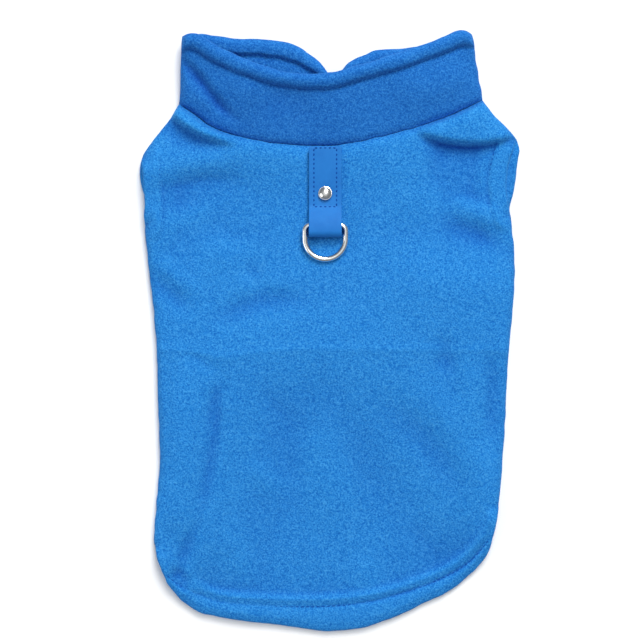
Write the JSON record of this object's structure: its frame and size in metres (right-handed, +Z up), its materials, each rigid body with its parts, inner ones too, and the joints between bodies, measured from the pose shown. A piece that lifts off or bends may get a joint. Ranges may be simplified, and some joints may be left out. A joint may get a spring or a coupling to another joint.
{
  "type": "dog winter coat",
  "caption": "Pullover fleece dog coat laid flat, with a stand collar, a curved back hem and a leash ring on a short strap.",
  "frame": {"origin": "centre of the laid-out coat on the surface that it lies on", "axes": "+Y along the back towards the collar, +X towards the coat's right edge as seen from above, +Z up from the surface"},
  "size_m": [0.2183, 0.3448, 0.0135],
  "materials": {
    "fleece": "matte polar fleece",
    "leather": "smooth satin coated leather",
    "chrome": "polished"
  },
  "bodies": {
    "coat": {"back_panel": "fleece", "belly_panel": "fleece", "collar": "fleece", "leash_tab": "leather", "rivet": "chrome"},
    "ring": {"d_ring": "chrome"}
  },
  "joints": [
    {"name": "ring_hinge", "type": "hinge", "parent": "coat", "child": "ring", "pos_m": [-0.0026, 0.0614, 0.01001], "axis": [-1, 0, 0], "range_deg": [0, 170]}
  ]
}
